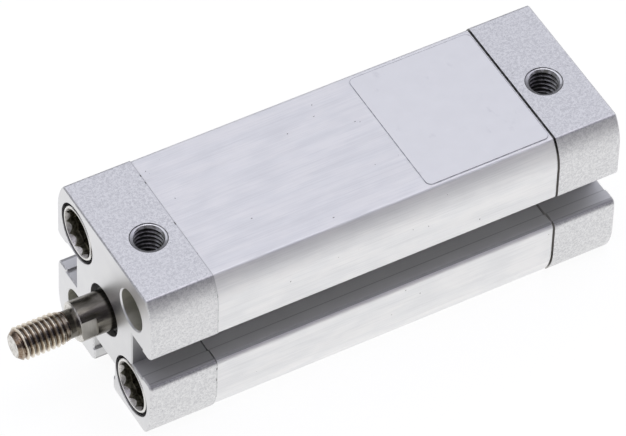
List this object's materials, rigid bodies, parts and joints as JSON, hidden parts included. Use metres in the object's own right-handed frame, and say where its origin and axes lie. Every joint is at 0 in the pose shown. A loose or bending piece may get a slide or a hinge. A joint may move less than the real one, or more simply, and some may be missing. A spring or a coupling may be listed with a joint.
{
  "type": "compact pneumatic cylinder",
  "caption": "Compact double-acting pneumatic cylinder with a slotted square barrel, two caps with air ports, and a sliding threaded rod on a magnetic piston.",
  "frame": {"origin": "on the rod axis, at the bearing cap's front mounting face", "axes": "+X along the rod, the way it comes out; +Z out of the face with both air ports; +Y to the long side that is seen in the picture"},
  "size_m": [0.0892, 0.0274, 0.0274],
  "materials": {
    "barrel_aluminium": "clear anodised extrusion, fine lengthwise lines",
    "cap_aluminium": "fine blasted and anodised, matt, slightly speckled",
    "label_film": "matt polyester film, bare",
    "screw_steel": "zinc plated",
    "washer_steel": "plain",
    "rod_steel": "ground and rolled stainless steel",
    "bearing_bronze": "sintered, oil filled",
    "wiper_polymer": "polyurethane",
    "seal_rubber": "nitrile, smooth",
    "band_polymer": "filled low-friction polymer",
    "piston_aluminium": "turned",
    "magnet_ferrite": "bonded magnet, matt",
    "buffer_polymer": "polyurethane"
  },
  "bodies": {
    "body": {"barrel": "barrel_aluminium", "bearing_cap": "cap_aluminium", "end_cap": "cap_aluminium", "label": "label_film", "flange_screw_front_upper": "screw_steel", "flange_screw_front_lower": "screw_steel", "flange_screw_rear_upper": "screw_steel", "flange_screw_rear_lower": "screw_steel", "rod_bearing_bush": "bearing_bronze", "rod_wiper": "wiper_polymer", "rod_seal": "seal_rubber", "rod_seal_retainer": "washer_steel", "bearing_cap_o_ring": "seal_rubber", "end_cap_o_ring": "seal_rubber"},
    "piston_seals": {"piston_guide_band": "band_polymer", "piston_seal_front": "seal_rubber", "piston_seal_rear": "seal_rubber"},
    "rod": {"piston_rod": "rod_steel", "piston_front_half": "piston_aluminium", "piston_rear_half": "piston_aluminium", "piston_magnet": "magnet_ferrite", "front_buffer": "buffer_polymer", "rear_buffer": "buffer_polymer", "piston_screw": "screw_steel"}
  },
  "joints": [
    {"name": "rod_slide", "type": "slide", "parent": "body", "child": "piston_seals", "axis": [1, 0, 0], "range_m": [0, 0.04]},
    {"name": "rod_turn", "type": "hinge", "parent": "piston_seals", "child": "rod", "pos_m": [0, 0, 0], "axis": [1, 0, 0], "continuous": true}
  ]
}
